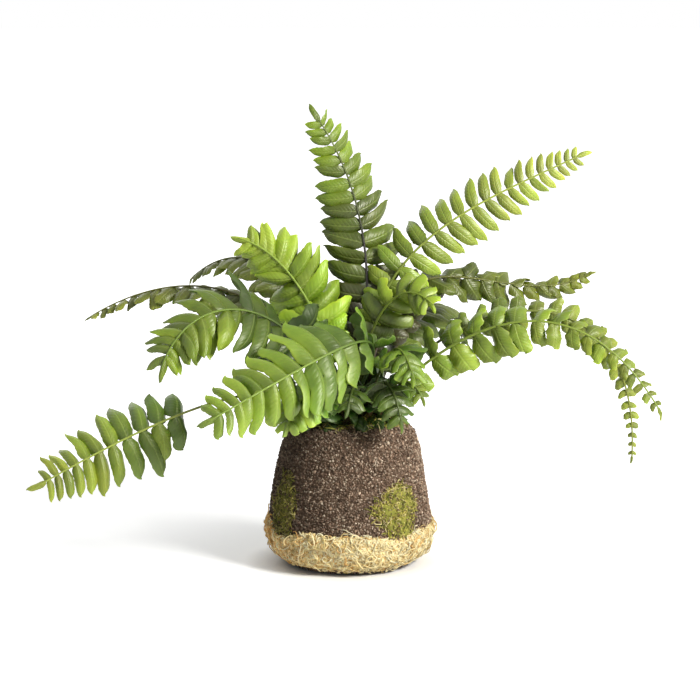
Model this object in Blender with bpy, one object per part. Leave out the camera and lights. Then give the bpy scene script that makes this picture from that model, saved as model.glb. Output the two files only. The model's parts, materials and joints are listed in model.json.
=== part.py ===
"""Boston fern on its root ball: arching fronds set in a crown, on a soil ball with moss and a fibre wrap.

The fern is modelled at its real size in metres, +Z up. Its origin is the middle of the root ball's
flat underside, and -Y is the side that it is seen from. The working dimensions below are in
millimetres, and each mesh is scaled to metres as it is made.
"""

import math
from collections import namedtuple

import bmesh
import bpy
import numpy as np
from mathutils import Matrix, Vector
from mathutils.bvhtree import BVHTree
from mathutils.geometry import interpolate_bezier

MM = 0.001
GAP = 0.3  # clearance left between pieces that touch

# Root ball: (radius, height) down its side. The underside is flat, and so is the top where the crown sits.
BALL_TOP = 78.0
BALL_PROFILE = [
    (0.0, BALL_TOP),
    (22.0, BALL_TOP),
    (29.0, 76.0),
    (33.5, 71.5),
    (36.5, 63.0),
    (39.0, 50.0),
    (41.0, 38.0),
    (42.5, 26.0),
    (42.8, 18.0),
    (40.0, 9.0),
    (35.0, 3.0),
    (30.0, 0.0),
    (0.0, 0.0),
]
BALL_SEGMENTS = 48

# Fibre wrap round the foot of the ball. It has a row at each bend of the ball's profile below its top.
WRAP_ROWS = [3.0, 9.0, 18.0]
WRAP_TOP = 22.0
WRAP_THICKNESS = 1.7

# Moss pads on the ball: (name, angle from +X in degrees, height of the middle, half width, half height).
MOSS_PADS = [
    ("moss_pad_front_right", -52.0, 34.5, 13.0, 12.0),
    ("moss_pad_front_left", -147.0, 35.0, 8.0, 14.0),
    ("moss_pad_back", 82.0, 37.0, 12.0, 11.0),
]
MOSS_THICKNESS = 1.5
MOSS_SPOKES = 14

# Crown: the knot that the stems grow from, (radius, height above the ball).
CROWN_PROFILE = [(0.0, 8.0), (6.0, 7.6), (12.0, 6.2), (16.5, 3.8), (19.0, 1.2), (19.5, 0.0), (0.0, 0.0)]
CROWN_SEGMENTS = 24
SOCKET_DEPTH = 3.5
SOCKET_RADIUS = 1.45

# Fronds. seat is where the stem leaves the crown, in X and Y. rise and arch are the handles of the
# Bezier curve that its midrib follows, and tip is where it ends. face is the way that the blade looks,
# twist is how far it turns from stem to tip in degrees, pinna is its longest leaflet, bare is the length
# of stem with no leaflets, and taper is how late the leaflets shorten towards the tip.
Frond = namedtuple("Frond", "name seat rise arch tip face twist pinna pairs bare taper")
UP = (0.0, 0.0, 1.0)
FRONDS = [
    Frond("frond_upright", (3, 5), (16, 12, 150), (10, 20, 200), (-22, 22, 244),
          (0.05, -1, 0.3), 20, 26, 16, 34, 2.2),
    Frond("frond_upper_right", (7, 0), (2, 8, 172), (64, 14, 190), (129, 20, 220),
          (0, -0.65, 0.8), 38, 21, 20, 44, 2.8),
    Frond("frond_mid_right", (9, 6), (18, 14, 205), (84, 36, 120), (134, 48, 151),
          (-0.2, -0.7, 0.9), 25, 18, 15, 44, 3.0),
    Frond("frond_arch_right", (14, -4), (48, -10, 126), (116, -22, 172), (165, -30, 84),
          (0.1, -1, 0.5), -10, 17, 17, 26, 3.0),
    Frond("frond_droop_right", (14, 2), (50, 4, 150), (158, 4, 168), (151, 0, 53),
          (0, -1, 0.5), 0, 11, 22, 40, 2.4),
    Frond("frond_upper_left", (-4, -3), (-9, -4, 122), (-30, 4, 172), (-64, 8, 175),
          (-0.15, -1, 0.15), 0, 27, 13, 28, 2.2),
    Frond("frond_curl_left", (-10, 0), (-25, -14, 151), (-87, -46, 163), (-99, -60, 109),
          (0.1, -1, 1.1), 0, 30, 14, 32, 2.6),
    Frond("frond_long_left", (-14, -5), (-38, -28, 116), (-104, -58, 88), (-165, -76, 55),
          (0, -1, 0.6), 0, 26, 11, 90, 2.4),
    Frond("frond_front_left", (0, -9), (33, -26, 150), (0, -70, 132), (-75, -110, 96),
          (-0.1, -1, 0.35), 0, 26, 15, 28, 4.5),
    Frond("frond_front_short", (-5, -12), (-9, -30, 108), (-26, -62, 112), (-34, -78, 84),
          (0, -0.7, 1), 0, 19, 7, 22, 2.8),
    Frond("frond_front_right", (9, -7), (20, -18, 124), (26, -36, 134), (34, -54, 106),
          (0.2, -0.7, 1), 0, 19, 7, 24, 2.4),
    Frond("frond_low_right", (10, -12), (15, -27, 112), (22, -41, 112), (28, -49, 80),
          (0.4, -0.7, 1), 0, 17, 6, 18, 2.4),
    Frond("frond_front_mid", (3, -14), (4, -32, 104), (2, -52, 112), (-2, -66, 92),
          (0, -0.8, 1), 0, 16, 5, 20, 2.4),
    Frond("frond_side_right", (15, -8), (22, -14, 104), (32, -20, 110), (40, -26, 90),
          (0.2, -0.8, 1), 0, 14, 5, 17, 2.4),
    Frond("frond_inner_right", (3, -2), (8, -6, 140), (28, -15, 162), (45, -34, 143),
          (0.1, -1, 0.5), 0, 18, 7, 36, 2.4),
    Frond("frond_back_right", (7, 11), (16, 30, 140), (44, 50, 160), (72, 64, 138),
          (-0.2, -0.4, 1), 0, 18, 12, 28, 2.4),
    Frond("frond_back_left", (-5, 9), (-15, 30, 150), (-58, 76, 175), (-92, 100, 136),
          (0, -0.3, 1), 0, 19, 15, 30, 2.4),
    Frond("frond_back", (1, 13), (2, 35, 150), (8, 110, 160), (10, 150, 100),
          (0, -0.2, 1), 0, 19, 16, 30, 2.4),
    Frond("frond_back_far_right", (13, 9), (26, 34, 130), (56, 95, 150), (66, 130, 92),
          (0, -0.2, 1), 0, 18, 15, 28, 2.4),
    Frond("frond_far_left", (-12, 5), (-30, 20, 150), (-90, 45, 160), (-147, 60, 121),
          (0, -0.4, 1), 15, 17, 16, 32, 2.4),
]
PINNA_THICKNESS = 0.7
STEM_WIDTH = 1.8
STEM_STATIONS = 5  # closer together near the socket, so that the stem leaves it straight

# Leaflets droop from the midrib by this angle. One that would meet its neighbour first lifts or drops
# by the angles in LIFTS, then shortens by SHARES, and is left out where there is no room at all.
DROOP = -14
LEAN_AT_STEM, LEAN_AT_TIP = 90, 66  # degrees between a leaflet and the midrib
LIFTS = (0, 14, -14, 28, -28, 42, -42)
SHARES = (1.0, 0.85, 0.7, 0.55, 0.4, 0.3)
STEM_MARGIN = 0.5  # kept clear round every stem
TIP_LEAFLET = 0.4  # the leaflet at the frond's tip, as a share of its longest one

SOIL, FIBRE, MOSS = (0.11, 0.075, 0.05), (0.72, 0.58, 0.33), (0.19, 0.2, 0.03)
LEAF, STEM_BASE = (0.16, 0.3, 0.04), (0.09, 0.075, 0.03)


def clear_scene():
    for obj in list(bpy.data.objects):
        bpy.data.objects.remove(obj)


def material(name, colour, roughness):
    made = bpy.data.materials.new(name)
    made.use_nodes = True
    shader = made.node_tree.nodes["Principled BSDF"]
    shader.inputs["Base Color"].default_value = (*colour, 1)
    shader.inputs["Roughness"].default_value = roughness
    shader.inputs["Metallic"].default_value = 0
    return made


def add_object(name, points, faces, finish):
    """A closed mesh from points in millimetres, with its faces turned outwards."""
    mesh = bpy.data.meshes.new(name)
    mesh.from_pydata([Vector(p) * MM for p in points], [], faces)
    shape = bmesh.new()
    shape.from_mesh(mesh)
    bmesh.ops.recalc_face_normals(shape, faces=shape.faces)
    if shape.calc_volume(signed=True) < 0:
        bmesh.ops.reverse_faces(shape, faces=shape.faces)
    shape.to_mesh(mesh)
    shape.free()
    mesh.materials.append(finish)
    mesh.shade_smooth()
    mesh.set_sharp_from_angle(angle=math.radians(35))
    obj = bpy.data.objects.new(name, mesh)
    bpy.context.scene.collection.objects.link(obj)
    return obj


def lathe(profile, segments):
    """Points and faces of the profile turned about Z. Its first and last points lie on the axis."""
    shape = bmesh.new()
    corners = [shape.verts.new((r, 0, z)) for r, z in profile]
    edges = [shape.edges.new(pair) for pair in zip(corners, corners[1:])]
    bmesh.ops.spin(
        shape, geom=corners + edges, cent=(0, 0, 0), axis=UP, angle=math.tau, steps=segments, use_merge=True
    )
    bmesh.ops.remove_doubles(shape, verts=shape.verts, dist=1e-4)
    shape.verts.index_update()
    points = [v.co.copy() for v in shape.verts]
    faces = [[v.index for v in f.verts] for f in shape.faces]
    shape.free()
    return points, faces


def unevenness(angle, height):
    """How far the hand-shaped ball stands out from its profile, as a share of the radius."""
    fade = min(1.0, height / 8.0) * min(1.0, max(0.0, (BALL_TOP - height) / 6.0))
    return fade * (0.012 * math.sin(2 * angle + 0.8) + 0.008 * math.sin(5 * angle + height / 9))


def ball_radius(angle, height):
    """Radius of the ball's side at a height above its foot."""
    side = sorted((z, r) for r, z in BALL_PROFILE[1:-1])
    radius = np.interp(height, [z for z, _ in side], [r for _, r in side])
    return float(radius) * (1 + unevenness(angle, height))


def on_ball(angle, height, offset):
    """The point that stands off the ball's side by offset."""
    radius = ball_radius(angle, height) + offset
    return Vector((radius * math.cos(angle), radius * math.sin(angle), height))


def build_root_ball(soil):
    points, faces = lathe(BALL_PROFILE, BALL_SEGMENTS)
    for p in points:
        swell = 1 + unevenness(math.atan2(p.y, p.x), p.z)
        p.x, p.y = p.x * swell, p.y * swell
    add_object("root_ball", points, faces, soil)
    return points, faces


def wrap_top(angle):
    """Height of the fibre wrap's ragged top edge. It dips under the moss pads."""
    height = WRAP_TOP + 1.4 * math.sin(3 * angle + 1) + 0.9 * math.sin(8 * angle)
    for _, pad_angle, middle, _, half_height in MOSS_PADS:
        away = math.remainder(angle - math.radians(pad_angle), math.tau)
        height = min(height, middle - half_height - 2 + 30 * away * away)
    return max(height, WRAP_ROWS[-1] + 2)


def build_fibre_wrap(fibre):
    """A ring that hugs the ball, with a lumpy outside."""
    points, faces = [], []
    for k in range(BALL_SEGMENTS):
        angle = math.tau * k / BALL_SEGMENTS
        top = wrap_top(angle)
        lump = WRAP_THICKNESS + 0.35 * math.sin(6 * angle) + 0.25 * math.sin(11 * angle + 2)
        points += [on_ball(angle, z, GAP + 0.1) for z in (*WRAP_ROWS, top)]
        points += [on_ball(angle, top - 1.2, lump), on_ball(angle, 15.0, lump + 0.3)]
        points += [on_ball(angle, 9.0, lump + 0.4), on_ball(angle, WRAP_ROWS[0] + 1.5, lump)]
    rows = len(points) // BALL_SEGMENTS
    for k in range(BALL_SEGMENTS):
        here, after = k * rows, (k + 1) % BALL_SEGMENTS * rows
        for j in range(rows):
            above = (j + 1) % rows
            faces.append([here + j, after + j, after + above, here + above])
    add_object("fibre_wrap", points, faces, fibre)
    return points, faces


def build_moss_pad(name, degrees, middle, half_width, half_height, moss):
    """A blot of moss that follows the ball, thick in the middle and thin at its wavy rim."""
    rings = [(0.0, 1.0), (0.55, 0.8), (1.0, 0.25)]
    turn = math.radians(degrees)

    def place(share, spoke, offset):
        around = math.tau * spoke / MOSS_SPOKES
        wave = 1 + 0.12 * math.sin(3 * around + degrees) + 0.07 * math.sin(5 * around)
        across = share * wave * half_width * math.cos(around)
        height = middle + share * wave * half_height * math.sin(around)
        return on_ball(turn + across / ball_radius(turn, height), height, offset)

    points, faces = [], []
    for under in (False, True):
        for share, thick in rings:
            offset = GAP + 0.3 if under else GAP + 0.4 + MOSS_THICKNESS * thick
            spokes = range(1 if share == 0 else MOSS_SPOKES)
            points += [place(share, spoke, offset) for spoke in spokes]
    layer = 1 + 2 * MOSS_SPOKES
    for start in (0, layer):
        for k in range(MOSS_SPOKES):
            after = (k + 1) % MOSS_SPOKES
            inner, outer = start + 1, start + 1 + MOSS_SPOKES
            faces.append([start, inner + k, inner + after])
            faces.append([inner + k, outer + k, outer + after, inner + after])
    rim_top, rim_under = 1 + MOSS_SPOKES, layer + 1 + MOSS_SPOKES
    for k in range(MOSS_SPOKES):
        after = (k + 1) % MOSS_SPOKES
        faces.append([rim_top + k, rim_under + k, rim_under + after, rim_top + after])
    add_object(name, points, faces, moss)
    return points, faces


def crown_height(radius):
    """Height of the crown's surface above the ball's underside."""
    side = sorted(CROWN_PROFILE[:-1])
    rise = np.interp(radius, [r for r, _ in side], [z for _, z in side])
    return BALL_TOP + GAP + float(rise)


def stem_start(frond):
    """The bottom of the frond's socket, and the way that its stem leaves the crown."""
    seat = Vector((*frond.seat, crown_height(math.hypot(*frond.seat))))
    way = (Vector(frond.rise) - seat).normalized()
    return seat - way * SOCKET_DEPTH, way


def build_crown(finish):
    """The crown, with a socket for each stem."""
    points, faces = lathe(CROWN_PROFILE, CROWN_SEGMENTS)
    for p in points:
        p.z += BALL_TOP + GAP
    crown = add_object("crown", points, faces, finish)
    cutter_points, cutter_faces = [], []
    for frond in FRONDS:
        bottom, way = stem_start(frond)
        turn = way.to_track_quat("Z", "X").to_matrix()
        first, sides = len(cutter_points), 8
        for depth in (-GAP, SOCKET_DEPTH + 4):
            for k in range(sides):
                around = math.tau * k / sides
                rim = Vector((math.cos(around), math.sin(around), 0)) * SOCKET_RADIUS
                cutter_points.append(bottom + way * depth + turn @ rim)
        ring = list(range(first, first + sides))
        above = [i + sides for i in ring]
        cutter_faces += [ring[::-1], above]
        cutter_faces += [
            [ring[k], ring[(k + 1) % sides], above[(k + 1) % sides], above[k]] for k in range(sides)
        ]
    cutter = add_object("socket_cutter", cutter_points, cutter_faces, finish)
    cutter.hide_render = True
    cutter.display_type = "WIRE"
    cut = crown.modifiers.new("sockets", "BOOLEAN")
    cut.operation, cut.object, cut.use_self = "DIFFERENCE", cutter, True
    return points, faces


class Midrib:
    """The line that a frond's stem follows, with the blade's frame at each station along it."""

    def __init__(self, frond):
        start, _ = stem_start(frond)
        line = interpolate_bezier(start, *map(Vector, (frond.rise, frond.arch, frond.tip)), 160)
        line = np.array([tuple(p) for p in line])
        self.walked = np.concatenate([[0], np.cumsum(np.linalg.norm(np.diff(line, axis=0), axis=1))])
        self.line, self.frond, self.length = line, frond, self.walked[-1]

    def at(self, distance):
        """(point, tangent, normal, side) at a distance from the stem's end."""
        step = 1.0
        here, before, after = (
            Vector([float(np.interp(d, self.walked, self.line[:, i])) for i in range(3)])
            for d in (distance, max(0.0, distance - step), min(self.length, distance + step))
        )
        tangent = (after - before).normalized()
        face = Vector(self.frond.face)
        normal = (face - tangent * face.dot(tangent)).normalized()
        turn = math.radians(self.frond.twist) * distance / self.length
        normal = Matrix.Rotation(turn, 3, tangent) @ normal
        return here, tangent, normal, tangent.cross(normal)

    def stations(self):
        """Distances of the stem's stations, and then of the edges between leaflets."""
        stem = [self.frond.bare * (k / STEM_STATIONS) ** 1.6 for k in range(STEM_STATIONS)]
        blade = self.length - self.frond.bare - TIP_LEAFLET * self.frond.pinna
        pairs = self.frond.pairs
        edges = [k / pairs * (1.45 - 0.45 * k / pairs) for k in range(pairs + 1)]
        return stem, [self.frond.bare + blade * e for e in edges]

    def corners(self, distance, margin=0.0):
        """The four corners of the stem's section, grown by a margin, in order round it."""
        here, _, normal, side = self.at(distance)
        half = 0.5 * STEM_WIDTH * (1 - 0.55 * distance / self.length)
        across, up = side * (half + margin), normal * (0.8 * half + margin)
        return [here + across + up, here - across + up, here - across - up, here + across - up]


# A leaflet's points: four root corners on the midrib, two sections of four corners, and its tip.
PINNA_ROOT = [[3, 2, 1, 0]]
PINNA_NECK = [[i, (i + 1) % 4, (i + 1) % 4 + 4, i + 4] for i in range(4)]
PINNA_BLADE = [[i + 4, (i + 1) % 4 + 4, (i + 1) % 4 + 8, i + 8] for i in range(4)]
PINNA_BLADE += [[i + 8, (i + 1) % 4 + 8, 12] for i in range(4)]
# Each section: how far out it is, how far it rises, and its half width as a share of the leaflet's pitch.
PINNA_SECTIONS = [(0.16, 0.03, 0.38), (0.78, 0.0, 0.36)]
PINNA_TIP_DROP = 0.12
SLIMMEST = 0.26  # half width of a short leaflet, as a share of its length
NECK_CLEARANCE = 0.4  # between the midrib and the nearest corner of a leaflet's first section


def blade_share(midrib, distance):
    """How far along the blade a place on the midrib is, from 0 at the lowest leaflet to 1 at the tip."""
    return (distance - midrib.frond.bare) / (midrib.length - midrib.frond.bare)


def pinna_length(midrib, distance):
    """Leaflets are shorter near the stem, long along the blade, and shrink towards its tip."""
    share = blade_share(midrib, distance)
    growth = 0.62 + 0.38 * min(1.0, share / 0.25)
    return midrib.frond.pinna * growth * (1 - 0.82 * share**midrib.frond.taper)


def pinna_ends(midrib, first, second, hand, length, lift, thickness):
    """The sections and the tip of the leaflet between two stations, on one hand of the midrib."""
    distance = 0.5 * (first + second)
    here, tangent, normal, side = midrib.at(distance)
    lean = math.radians(LEAN_AT_STEM + (LEAN_AT_TIP - LEAN_AT_STEM) * blade_share(midrib, distance))
    swing = math.radians(DROOP + lift)
    outward = side * hand * math.cos(swing) + normal * math.sin(swing)
    along = tangent * math.cos(lean) + outward * math.sin(lean)
    forward = tangent * math.sin(lean) - outward * math.cos(lean)
    over = along.cross(forward) * hand
    ends = []
    for reach, rise, share in PINNA_SECTIONS:
        half = min(share * (second - first), SLIMMEST * length)
        clear = (0.5 * STEM_WIDTH + NECK_CLEARANCE + half * math.cos(lean)) / math.sin(lean)
        middle = here + along * max(reach * length, clear) + over * rise * length
        across, up = forward * half, over * 0.5 * thickness
        ends += [middle - across + up, middle + across + up, middle + across - up, middle - across - up]
    ends.append(here + along * length - over * PINNA_TIP_DROP * length)
    return ends


def stem_skin(sections):
    """Points and faces of a bare square tube through the sections, for testing leaflets against."""
    points = [p for section in sections for p in section]
    faces = [
        [4 * k + j, 4 * k + (j + 1) % 4, 4 * k + 4 + (j + 1) % 4, 4 * k + 4 + j]
        for k in range(len(sections) - 1)
        for j in range(4)
    ]
    return points, faces


def merged(meshes):
    """One bounding tree for several meshes."""
    points, faces = [], []
    for mesh_points, mesh_faces in meshes:
        first = len(points)
        points += mesh_points
        faces += [[first + i for i in face] for face in mesh_faces]
    return BVHTree.FromPolygons(points, faces)


def fit_pinna(midrib, root, first, second, hand, others, pinnae, spine):
    """The longest leaflet at the smallest lift that keeps clear of what was placed before it, or None.

    others is the rest of the fern, which all of the leaflet keeps clear of. pinnae are the same frond's
    leaflets and spine is its stem. Their roots share corners, so a neck is tested against blades only.
    """
    own = merged([spine] + pinnae)
    blades = merged([(points, PINNA_BLADE) for points, _ in pinnae])
    full = pinna_length(midrib, 0.5 * (first + second))
    padded = PINNA_THICKNESS + 2 * GAP
    for share in SHARES:
        for lift in LIFTS:
            trial = root + pinna_ends(midrib, first, second, hand, full * share, lift, padded)
            whole = BVHTree.FromPolygons(trial, PINNA_ROOT + PINNA_NECK + PINNA_BLADE)
            neck, blade = (BVHTree.FromPolygons(trial, part) for part in (PINNA_NECK, PINNA_BLADE))
            if not (whole.overlap(others) or blade.overlap(own) or neck.overlap(blades)):
                return pinna_ends(midrib, first, second, hand, full * share, lift, PINNA_THICKNESS)
    return None


def tip_leaflet(midrib, start):
    """The sections and the end of the leaflet that carries the midrib on from its last station."""
    ends = []
    leaflet = midrib.length - start
    for share, half in ((0.35, 0.22), (0.7, 0.2)):
        middle, _, up, across = midrib.at(start + share * leaflet)
        across, up = across * half * leaflet, up * 0.5 * PINNA_THICKNESS
        ends += [middle + across + up, middle - across + up, middle - across - up, middle + across - up]
    return ends + [Vector(midrib.frond.tip)]


def build_frond(midrib, fixed, leaf):
    """One closed solid: the stem, a pair of leaflets between each two stations, and one at the tip."""
    stem, edges = midrib.stations()
    distances = stem + edges
    sections = [midrib.corners(d) for d in distances]
    points = [p for section in sections for p in section]
    faces = [[3, 2, 1, 0]]
    tip = tip_leaflet(midrib, distances[-1])
    pinnae = [(sections[-1] + tip, PINNA_BLADE)]
    others, spine = merged(fixed), stem_skin(sections)
    for k in range(len(sections) - 1):
        near, far = 4 * k, 4 * k + 4
        faces.append([near, near + 1, far + 1, far])
        faces.append([near + 3, far + 3, far + 2, near + 2])
        if k < len(stem):
            faces.append([near, far, far + 3, near + 3])
            faces.append([near + 1, near + 2, far + 2, far + 1])
            continue
        hands = {1: (near, far, far + 3, near + 3), -1: (near + 1, far + 1, far + 2, near + 2)}
        for hand, corners in hands.items():
            root = [points[i] for i in corners]
            ends = fit_pinna(midrib, root, distances[k], distances[k + 1], hand, others, pinnae, spine)
            if ends is None:
                faces.append(list(corners))
                continue
            index = [*corners, *range(len(points), len(points) + len(ends))]
            points += ends
            faces += [[index[i] for i in face] for face in PINNA_NECK + PINNA_BLADE]
            pinnae.append((root + ends, PINNA_NECK + PINNA_BLADE))
    last = 4 * (len(sections) - 1)
    index = [*range(last, last + 4), *range(len(points), len(points) + len(tip))]
    points += tip
    faces += [[index[i] for i in face] for face in PINNA_NECK + PINNA_BLADE]
    add_object(midrib.frond.name, points, faces, leaf)
    return pinnae


def build_fronds(leaf, fixed):
    """Stems first, because they hold their lines. Then each frond's leaflets make way for what is there."""
    midribs = [Midrib(frond) for frond in FRONDS]
    stems = []
    for midrib in midribs:
        stem, edges = midrib.stations()
        stems.append(stem_skin([midrib.corners(d, STEM_MARGIN) for d in stem + edges]))
    placed = []
    for k, midrib in enumerate(midribs):
        others = stems[:k] + stems[k + 1 :]
        placed += build_frond(midrib, fixed + others + placed, leaf)


def main():
    clear_scene()
    soil = material("soil", SOIL, 0.95)
    fibre = material("fibre", FIBRE, 0.9)
    moss = material("moss", MOSS, 0.95)
    leaf = material("leaf", LEAF, 0.42)
    stem_base = material("stem_base", STEM_BASE, 0.7)
    fixed = [build_root_ball(soil), build_fibre_wrap(fibre), build_crown(stem_base)]
    fixed += [build_moss_pad(*pad, moss) for pad in MOSS_PADS]
    build_fronds(leaf, fixed)


main()
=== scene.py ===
"""Boston fern on its root ball: the visual model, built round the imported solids.

Each frond and each part of the root ball is a mesh that stands for the solid of the same name. The meshes
are worked out in millimetres and scaled to metres as they are made. Floor, lamps and camera are in metres.
"""

import json
import math
from collections import namedtuple

import bmesh
import bpy
import numpy as np
from mathutils import Matrix, Vector, noise
from mathutils.geometry import interpolate_bezier
from mathutils.kdtree import KDTree

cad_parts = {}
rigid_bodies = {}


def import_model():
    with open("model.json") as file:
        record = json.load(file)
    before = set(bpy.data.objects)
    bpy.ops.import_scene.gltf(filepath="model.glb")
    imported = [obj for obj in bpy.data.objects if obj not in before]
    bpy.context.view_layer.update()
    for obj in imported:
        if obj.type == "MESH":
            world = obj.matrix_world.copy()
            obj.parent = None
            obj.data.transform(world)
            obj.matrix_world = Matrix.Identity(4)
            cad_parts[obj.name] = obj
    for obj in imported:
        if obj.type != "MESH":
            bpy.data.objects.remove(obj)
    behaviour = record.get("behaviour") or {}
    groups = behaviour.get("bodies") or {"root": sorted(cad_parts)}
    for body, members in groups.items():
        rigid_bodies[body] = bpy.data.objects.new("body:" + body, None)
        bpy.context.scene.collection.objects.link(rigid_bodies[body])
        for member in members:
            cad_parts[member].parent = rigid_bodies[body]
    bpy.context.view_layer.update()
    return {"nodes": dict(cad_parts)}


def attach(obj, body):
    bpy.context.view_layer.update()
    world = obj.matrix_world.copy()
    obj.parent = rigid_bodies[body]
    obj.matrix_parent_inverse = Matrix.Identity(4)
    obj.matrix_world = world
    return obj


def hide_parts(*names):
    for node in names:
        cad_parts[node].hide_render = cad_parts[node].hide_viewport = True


MM = 0.001
UP = Vector((0, 0, 1))
WHITE = (1, 1, 1, 1)

for old in list(bpy.data.objects):
    bpy.data.objects.remove(old)
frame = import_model()


def srgb(red, green, blue):
    """Linear values of a colour written as 8-bit sRGB."""
    shares = (c / 255 for c in (red, green, blue))
    return tuple(c / 12.92 if c <= 0.04045 else ((c + 0.055) / 1.055) ** 2.4 for c in shares)


# -------- materials


class Nodes:
    """The node tree of a new material or world. Inputs are numbers, colours or other nodes' sockets."""

    def __init__(self, name, kind=bpy.data.materials):
        self.owner = kind.new(name)
        self.owner.use_nodes = True
        self.tree = self.owner.node_tree
        self.shader = self.tree.nodes.get("Principled BSDF")

    def put(self, socket, value):
        if isinstance(value, bpy.types.NodeSocket):
            self.tree.links.new(value, socket)
        else:
            socket.default_value = value

    def node(self, kind, inputs=None, **settings):
        made = self.tree.nodes.new(kind)
        for key, value in settings.items():
            setattr(made, key, value)
        for key, value in (inputs or {}).items():
            self.put(made.inputs[key], value)
        return made

    def math(self, operation, *values):
        return self.node("ShaderNodeMath", dict(enumerate(values)), operation=operation).outputs[0]

    def times(self, first, second):
        return self.math("MULTIPLY", first, second)

    def mix(self, factor, first, second, blend="MIX"):
        ends = [c if isinstance(c, bpy.types.NodeSocket) else (*c, 1) for c in (first, second)]
        settings = {"data_type": "RGBA", "blend_type": blend, "clamp_factor": True}
        return self.node("ShaderNodeMix", {0: factor, 6: ends[0], 7: ends[1]}, **settings).outputs[2]

    def dyed(self, colour, dye):
        return self.mix(1.0, colour, dye, "MULTIPLY")

    def range(self, value, low, high, to_low=0.0, to_high=1.0):
        inputs = dict(enumerate((value, low, high, to_low, to_high)))
        return self.node("ShaderNodeMapRange", inputs, interpolation_type="SMOOTHSTEP").outputs[0]

    def attribute(self, name):
        return self.node("ShaderNodeAttribute", attribute_name=name).outputs["Vector"]

    def parts(self, vector):
        return self.node("ShaderNodeSeparateXYZ", {0: vector}).outputs

    def noise(self, scale, detail=3.0, rough=0.55, vector=None):
        inputs = {"Scale": scale, "Detail": detail, "Roughness": rough}
        where = vector or self.node("ShaderNodeTexCoord").outputs["Object"]
        return self.node("ShaderNodeTexNoise", {"Vector": where, **inputs}).outputs[0]

    def bump(self, height, strength, distance):
        inputs = {"Height": height, "Strength": strength, "Distance": distance * MM}
        self.put(self.shader.inputs["Normal"], self.node("ShaderNodeBump", inputs).outputs[0])

    def finish(self, colour, roughness, **constants):
        self.put(self.shader.inputs["Base Color"], colour)
        self.put(self.shader.inputs["Roughness"], roughness)
        for name, value in constants.items():
            self.shader.inputs[name.replace("_", " ")].default_value = value
        return self.owner


def leaf_material():
    """Satin leaf: pale midrib, slanting side veins, yellower margins and a paler underside."""
    n = Nodes("fern_leaf")
    u, v, under = n.parts(n.attribute("place"))
    side = n.math("ABSOLUTE", v)
    veins, slant = 9.0, 1.7
    row = n.math("SUBTRACT", n.times(u, veins), n.times(side, slant))
    wave = n.math("SINE", n.times(row, math.tau))
    vein = n.math("POWER", n.math("MULTIPLY_ADD", wave, 0.5, 0.5), 2.5)
    vein = n.times(vein, n.range(side, 0.96, 0.5))
    rib = n.range(side, 0.13, 0.02)
    blotch, grain = n.noise(95.0, 4.0), n.noise(1300.0)
    colour = n.mix(n.range(blotch, 0.3, 0.7), (0.84, 0.86, 0.8), (1.14, 1.1, 1.08))
    colour = n.dyed(n.attribute("tint"), colour)
    colour = n.mix(n.times(vein, 0.14), colour, n.dyed(colour, (1.45, 1.3, 1.1)))
    edge = n.times(n.range(side, 0.72, 1.0), 0.35)
    colour = n.mix(edge, colour, n.dyed(colour, (1.6, 1.35, 0.9)))
    pale = n.mix(0.5, n.dyed(colour, (1.5, 1.45, 1.5)), srgb(178, 196, 104))
    colour = n.mix(n.times(rib, 0.34), colour, pale)
    below = n.mix(0.45, colour, srgb(126, 146, 84))
    colour = n.mix(n.times(under, 0.55), colour, below)
    rough = n.math("ADD", n.range(blotch, 0.3, 0.7, 0.38, 0.48), n.times(under, 0.16))
    height = n.math("ADD", n.times(vein, -0.4), n.times(grain, 0.22))
    height = n.math("ADD", height, n.times(rib, -0.8))
    n.bump(height, 0.55, 0.35)
    return n.finish(
        colour, rough, Subsurface_Weight=0.1, Subsurface_Radius=(0.35, 1.0, 0.12), Subsurface_Scale=0.0016,
        Specular_IOR_Level=0.6, Specular_Tint=(1.0, 1.0, 0.8, 1), Coat_Weight=0.05, Coat_Roughness=0.3,
    )


def stem_material():
    """Midrib and stem: fine ribs along it, and darker flecks."""
    n = Nodes("fern_stem")
    along, around, _ = n.parts(n.attribute("place"))
    fleck = n.noise(420.0)
    where = n.node("ShaderNodeCombineXYZ", {0: along, 1: n.times(around, 60.0)}).outputs[0]
    fibre = n.noise(1.0, 2.0, 0.5, where)
    colour = n.mix(n.range(fibre, 0.35, 0.65), (0.78, 0.78, 0.74), (1.2, 1.18, 1.1))
    colour = n.dyed(n.attribute("tint"), colour)
    colour = n.mix(n.range(fleck, 0.62, 0.72, 0.0, 0.5), colour, srgb(74, 58, 30))
    n.bump(n.math("ADD", fibre, n.times(fleck, 0.5)), 0.5, 0.2)
    return n.finish(colour, n.range(fibre, 0.3, 0.7, 0.42, 0.6), Coat_Weight=0.05)


def crumb_material(name, speck, rough, relief, mottle=0.2):
    """Soil, fibre, moss or stem base: each grain or strand has its own tint and a mottled, dusty surface."""
    n = Nodes(name)
    coarse, fine = n.noise(260.0, 4.0), n.noise(1900.0)
    dark, pale = 0.99 - mottle, 1 + mottle
    colour = n.mix(n.range(coarse, 0.3, 0.7), (dark, dark * 0.99, dark * 0.97), (pale, pale, pale))
    colour = n.dyed(n.attribute("tint"), colour)
    colour = n.mix(n.range(fine, 0.58, 0.72, 0.0, 0.4), colour, speck)
    n.bump(n.math("ADD", fine, n.times(coarse, 0.6)), 0.7, relief)
    return n.finish(colour, n.range(fine, 0.3, 0.7, rough - 0.1, rough), Specular_IOR_Level=0.3)


# -------- meshes


def link(name, data, place=(0, 0, 0), target=None):
    """A new object in the scene, which looks at the target if there is one."""
    made = bpy.data.objects.new(name, data)
    made.location = place
    if target is not None:
        made.rotation_euler = (target - made.location).to_track_quat("-Z", "Y").to_euler()
    bpy.context.scene.collection.objects.link(made)
    return made


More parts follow.
